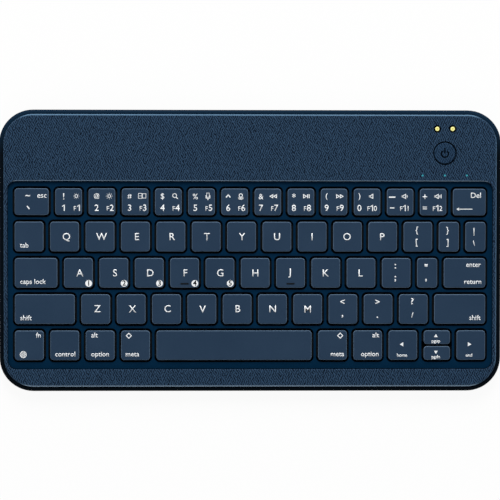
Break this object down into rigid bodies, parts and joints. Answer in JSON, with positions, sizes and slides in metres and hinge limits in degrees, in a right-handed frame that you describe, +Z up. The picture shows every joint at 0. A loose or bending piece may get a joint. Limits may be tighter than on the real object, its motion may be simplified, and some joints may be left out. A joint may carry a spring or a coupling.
{
  "type": "tablet keyboard",
  "caption": "Thin rectangular tablet keyboard with rounded corners, leather deck, sunk well of sprung keys, round power button, charging contacts and magnets for its case.",
  "frame": {"origin": "middle of the underside", "axes": "+X to the typist's right, +Y away from the typist, +Z up out of the keys"},
  "size_m": [0.2418, 0.1354, 0.0065],
  "materials": {
    "deck_leather": "fine grain, satin",
    "base_leather": "fine grain, satin",
    "case_plastic": "fine matte texture",
    "web_plastic": "satin",
    "key_plastic": "fine matte texture, printed signs",
    "button_plastic": "satin, printed sign",
    "stack_steel": "rolled",
    "spring_wire": "drawn",
    "screw_steel": "blackened",
    "magnet_nickel": "nickel plated",
    "circuit_film": "printed polyester film",
    "dome_silicone": "moulded, dull black",
    "battery_foil": "foil pouch",
    "board_laminate": "solder mask",
    "switch_plastic": "moulded",
    "contact_gold": "gold plated",
    "light_pipe": "clear moulded",
    "lead_sleeve": "smooth"
  },
  "bodies": {
    "keyboard": {"backing_plate": "stack_steel", "base_cover": "base_leather", "battery": "battery_foil", "battery_leads": "lead_sleeve", "case_magnets": "magnet_nickel", "case_screws": "screw_steel", "charging_contacts": "contact_gold", "circuit_board": "board_laminate", "deck_frame": "case_plastic", "deck_leather": "deck_leather", "dome_sheet": "dome_silicone", "indicator_lights": "light_pipe", "key_web": "web_plastic", "membrane_circuit": "circuit_film", "membrane_tail": "circuit_film", "power_switch": "switch_plastic", "tray": "case_plastic"},
    "a_key": {"a_key": "key_plastic"},
    "b_key": {"b_key": "key_plastic"},
    "c_key": {"c_key": "key_plastic"},
    "caps_lock_key": {"caps_lock_key": "key_plastic"},
    "d_key": {"d_key": "key_plastic"},
    "delete_key": {"delete_key": "key_plastic"},
    "down_arrow_key": {"down_arrow_key": "key_plastic"},
    "e_key": {"e_key": "key_plastic"},
    "enter_key": {"enter_key": "key_plastic"},
    "esc_key": {"esc_key": "key_plastic"},
    "f_key": {"f_key": "key_plastic"},
    "g_key": {"g_key": "key_plastic"},
    "h_key": {"h_key": "key_plastic"},
    "i_key": {"i_key": "key_plastic"},
    "j_key": {"j_key": "key_plastic"},
    "k_key": {"k_key": "key_plastic"},
    "l_key": {"l_key": "key_plastic"},
    "left_arrow_key": {"left_arrow_key": "key_plastic"},
    "left_shift_key": {"left_shift_key": "key_plastic"},
    "m_key": {"m_key": "key_plastic"},
    "modifier_keys": {"modifier_keys": "key_plastic"},
    "n_key": {"n_key": "key_plastic"},
    "number_keys": {"number_keys": "key_plastic"},
    "o_key": {"o_key": "key_plastic"},
    "p_key": {"p_key": "key_plastic"},
    "q_key": {"q_key": "key_plastic"},
    "r_key": {"r_key": "key_plastic"},
    "right_arrow_key": {"right_arrow_key": "key_plastic"},
    "right_shift_key": {"right_shift_key": "key_plastic"},
    "s_key": {"s_key": "key_plastic"},
    "sign_keys": {"sign_keys": "key_plastic"},
    "space_bar": {"space_bar": "key_plastic"},
    "t_key": {"t_key": "key_plastic"},
    "tab_key": {"tab_key": "key_plastic"},
    "u_key": {"u_key": "key_plastic"},
    "up_arrow_key": {"up_arrow_key": "key_plastic"},
    "v_key": {"v_key": "key_plastic"},
    "w_key": {"w_key": "key_plastic"},
    "x_key": {"x_key": "key_plastic"},
    "y_key": {"y_key": "key_plastic"},
    "z_key": {"z_key": "key_plastic"},
    "power_button": {"power_button": "button_plastic"},
    "space_bar_stabiliser": {"space_bar_stabiliser": "spring_wire"}
  },
  "joints": [
    {"name": "a_key_press", "type": "slide", "parent": "keyboard", "child": "a_key", "axis": [0, 0, -1], "range_m": [0, 0.0012], "stiffness_N_per_m": 300, "springref_m": -0.0005, "deforming": ["dome_sheet"]},
    {"name": "b_key_press", "type": "slide", "parent": "keyboard", "child": "b_key", "axis": [0, 0, -1], "range_m": [0, 0.0012], "stiffness_N_per_m": 300, "springref_m": -0.0005, "deforming": ["dome_sheet"]},
    {"name": "c_key_press", "type": "slide", "parent": "keyboard", "child": "c_key", "axis": [0, 0, -1], "range_m": [0, 0.0012], "stiffness_N_per_m": 300, "springref_m": -0.0005, "deforming": ["dome_sheet"]},
    {"name": "caps_lock_key_press", "type": "slide", "parent": "keyboard", "child": "caps_lock_key", "axis": [0, 0, -1], "range_m": [0, 0.0012], "stiffness_N_per_m": 300, "springref_m": -0.0005, "deforming": ["dome_sheet"]},
    {"name": "d_key_press", "type": "slide", "parent": "keyboard", "child": "d_key", "axis": [0, 0, -1], "range_m": [0, 0.0012], "stiffness_N_per_m": 300, "springref_m": -0.0005, "deforming": ["dome_sheet"]},
    {"name": "delete_key_press", "type": "slide", "parent": "keyboard", "child": "delete_key", "axis": [0, 0, -1], "range_m": [0, 0.0012], "stiffness_N_per_m": 300, "springref_m": -0.0005, "deforming": ["dome_sheet"]},
    {"name": "down_arrow_key_press", "type": "slide", "parent": "keyboard", "child": "down_arrow_key", "axis": [0, 0, -1], "range_m": [0, 0.0012], "stiffness_N_per_m": 300, "springref_m": -0.0005, "deforming": ["dome_sheet"]},
    {"name": "e_key_press", "type": "slide", "parent": "keyboard", "child": "e_key", "axis": [0, 0, -1], "range_m": [0, 0.0012], "stiffness_N_per_m": 300, "springref_m": -0.0005, "deforming": ["dome_sheet"]},
    {"name": "enter_key_press", "type": "slide", "parent": "keyboard", "child": "enter_key", "axis": [0, 0, -1], "range_m": [0, 0.0012], "stiffness_N_per_m": 300, "springref_m": -0.0005, "deforming": ["dome_sheet"]},
    {"name": "esc_key_press", "type": "slide", "parent": "keyboard", "child": "esc_key", "axis": [0, 0, -1], "range_m": [0, 0.0012], "stiffness_N_per_m": 300, "springref_m": -0.0005, "deforming": ["dome_sheet"]},
    {"name": "f_key_press", "type": "slide", "parent": "keyboard", "child": "f_key", "axis": [0, 0, -1], "range_m": [0, 0.0012], "stiffness_N_per_m": 300, "springref_m": -0.0005, "deforming": ["dome_sheet"]},
    {"name": "g_key_press", "type": "slide", "parent": "keyboard", "child": "g_key", "axis": [0, 0, -1], "range_m": [0, 0.0012], "stiffness_N_per_m": 300, "springref_m": -0.0005, "deforming": ["dome_sheet"]},
    {"name": "h_key_press", "type": "slide", "parent": "keyboard", "child": "h_key", "axis": [0, 0, -1], "range_m": [0, 0.0012], "stiffness_N_per_m": 300, "springref_m": -0.0005, "deforming": ["dome_sheet"]},
    {"name": "i_key_press", "type": "slide", "parent": "keyboard", "child": "i_key", "axis": [0, 0, -1], "range_m": [0, 0.0012], "stiffness_N_per_m": 300, "springref_m": -0.0005, "deforming": ["dome_sheet"]},
    {"name": "j_key_press", "type": "slide", "parent": "keyboard", "child": "j_key", "axis": [0, 0, -1], "range_m": [0, 0.0012], "stiffness_N_per_m": 300, "springref_m": -0.0005, "deforming": ["dome_sheet"]},
    {"name": "k_key_press", "type": "slide", "parent": "keyboard", "child": "k_key", "axis": [0, 0, -1], "range_m": [0, 0.0012], "stiffness_N_per_m": 300, "springref_m": -0.0005, "deforming": ["dome_sheet"]},
    {"name": "l_key_press", "type": "slide", "parent": "keyboard", "child": "l_key", "axis": [0, 0, -1], "range_m": [0, 0.0012], "stiffness_N_per_m": 300, "springref_m": -0.0005, "deforming": ["dome_sheet"]},
    {"name": "left_arrow_key_press", "type": "slide", "parent": "keyboard", "child": "left_arrow_key", "axis": [0, 0, -1], "range_m": [0, 0.0012], "stiffness_N_per_m": 300, "springref_m": -0.0005, "deforming": ["dome_sheet"]},
    {"name": "left_shift_key_press", "type": "slide", "parent": "keyboard", "child": "left_shift_key", "axis": [0, 0, -1], "range_m": [0, 0.0012], "stiffness_N_per_m": 300, "springref_m": -0.0005, "deforming": ["dome_sheet"]},
    {"name": "m_key_press", "type": "slide", "parent": "keyboard", "child": "m_key", "axis": [0, 0, -1], "range_m": [0, 0.0012], "stiffness_N_per_m": 300, "springref_m": -0.0005, "deforming": ["dome_sheet"]},
    {"name": "modifier_keys_press", "type": "slide", "parent": "keyboard", "child": "modifier_keys", "axis": [0, 0, -1], "range_m": [0, 0.0012], "stiffness_N_per_m": 1800, "springref_m": -0.0005, "deforming": ["dome_sheet"]},
    {"name": "n_key_press", "type": "slide", "parent": "keyboard", "child": "n_key", "axis": [0, 0, -1], "range_m": [0, 0.0012], "stiffness_N_per_m": 300, "springref_m": -0.0005, "deforming": ["dome_sheet"]},
    {"name": "number_keys_press", "type": "slide", "parent": "keyboard", "child": "number_keys", "axis": [0, 0, -1], "range_m": [0, 0.0012], "stiffness_N_per_m": 3600, "springref_m": -0.0005, "deforming": ["dome_sheet"]},
    {"name": "o_key_press", "type": "slide", "parent": "keyboard", "child": "o_key", "axis": [0, 0, -1], "range_m": [0, 0.0012], "stiffness_N_per_m": 300, "springref_m": -0.0005, "deforming": ["dome_sheet"]},
    {"name": "p_key_press", "type": "slide", "parent": "keyboard", "child": "p_key", "axis": [0, 0, -1], "range_m": [0, 0.0012], "stiffness_N_per_m": 300, "springref_m": -0.0005, "deforming": ["dome_sheet"]},
    {"name": "q_key_press", "type": "slide", "parent": "keyboard", "child": "q_key", "axis": [0, 0, -1], "range_m": [0, 0.0012], "stiffness_N_per_m": 300, "springref_m": -0.0005, "deforming": ["dome_sheet"]},
    {"name": "r_key_press", "type": "slide", "parent": "keyboard", "child": "r_key", "axis": [0, 0, -1], "range_m": [0, 0.0012], "stiffness_N_per_m": 300, "springref_m": -0.0005, "deforming": ["dome_sheet"]},
    {"name": "right_arrow_key_press", "type": "slide", "parent": "keyboard", "child": "right_arrow_key", "axis": [0, 0, -1], "range_m": [0, 0.0012], "stiffness_N_per_m": 300, "springref_m": -0.0005, "deforming": ["dome_sheet"]},
    {"name": "right_shift_key_press", "type": "slide", "parent": "keyboard", "child": "right_shift_key", "axis": [0, 0, -1], "range_m": [0, 0.0012], "stiffness_N_per_m": 300, "springref_m": -0.0005, "deforming": ["dome_sheet"]},
    {"name": "s_key_press", "type": "slide", "parent": "keyboard", "child": "s_key", "axis": [0, 0, -1], "range_m": [0, 0.0012], "stiffness_N_per_m": 300, "springref_m": -0.0005, "deforming": ["dome_sheet"]},
    {"name": "sign_keys_press", "type": "slide", "parent": "keyboard", "child": "sign_keys", "axis": [0, 0, -1], "range_m": [0, 0.0012], "stiffness_N_per_m": 2400, "springref_m": -0.0005, "deforming": ["dome_sheet"]},
    {"name": "space_bar_press", "type": "slide", "parent": "keyboard", "child": "space_bar", "axis": [0, 0, -1], "range_m": [0, 0.0012], "stiffness_N_per_m": 300, "springref_m": -0.0005, "deforming": ["dome_sheet"]},
    {"name": "t_key_press", "type": "slide", "parent": "keyboard", "child": "t_key", "axis": [0, 0, -1], "range_m": [0, 0.0012], "stiffness_N_per_m": 300, "springref_m": -0.0005, "deforming": ["dome_sheet"]},
    {"name": "tab_key_press", "type": "slide", "parent": "keyboard", "child": "tab_key", "axis": [0, 0, -1], "range_m": [0, 0.0012], "stiffness_N_per_m": 300, "springref_m": -0.0005, "deforming": ["dome_sheet"]},
    {"name": "u_key_press", "type": "slide", "parent": "keyboard", "child": "u_key", "axis": [0, 0, -1], "range_m": [0, 0.0012], "stiffness_N_per_m": 300, "springref_m": -0.0005, "deforming": ["dome_sheet"]},
    {"name": "up_arrow_key_press", "type": "slide", "parent": "keyboard", "child": "up_arrow_key", "axis": [0, 0, -1], "range_m": [0, 0.0012], "stiffness_N_per_m": 300, "springref_m": -0.0005, "deforming": ["dome_sheet"]},
    {"name": "v_key_press", "type": "slide", "parent": "keyboard", "child": "v_key", "axis": [0, 0, -1], "range_m": [0, 0.0012], "stiffness_N_per_m": 300, "springref_m": -0.0005, "deforming": ["dome_sheet"]},
    {"name": "w_key_press", "type": "slide", "parent": "keyboard", "child": "w_key", "axis": [0, 0, -1], "range_m": [0, 0.0012], "stiffness_N_per_m": 300, "springref_m": -0.0005, "deforming": ["dome_sheet"]},
    {"name": "x_key_press", "type": "slide", "parent": "keyboard", "child": "x_key", "axis": [0, 0, -1], "range_m": [0, 0.0012], "stiffness_N_per_m": 300, "springref_m": -0.0005, "deforming": ["dome_sheet"]},
    {"name": "y_key_press", "type": "slide", "parent": "keyboard", "child": "y_key", "axis": [0, 0, -1], "range_m": [0, 0.0012], "stiffness_N_per_m": 300, "springref_m": -0.0005, "deforming": ["dome_sheet"]},
    {"name": "z_key_press", "type": "slide", "parent": "keyboard", "child": "z_key", "axis": [0, 0, -1], "range_m": [0, 0.0012], "stiffness_N_per_m": 300, "springref_m": -0.0005, "deforming": ["dome_sheet"]},
    {"name": "power_button_press", "type": "slide", "parent": "keyboard", "child": "power_button", "axis": [0, 0, -1], "range_m": [0, 0.0004], "stiffness_N_per_m": 3000, "springref_m": -0.0002},
    {"name": "space_bar_stabiliser_turn", "type": "hinge", "parent": "keyboard", "child": "space_bar_stabiliser", "pos_m": [-0.00795, -0.04858, 0.0031], "axis": [-1, 0, 0], "range_deg": [0, 11.27]}
  ],
  "couplings": [
    {"joint": "space_bar_stabiliser_turn", "follows": "space_bar_press", "rad_per_m": 163.19}
  ]
}
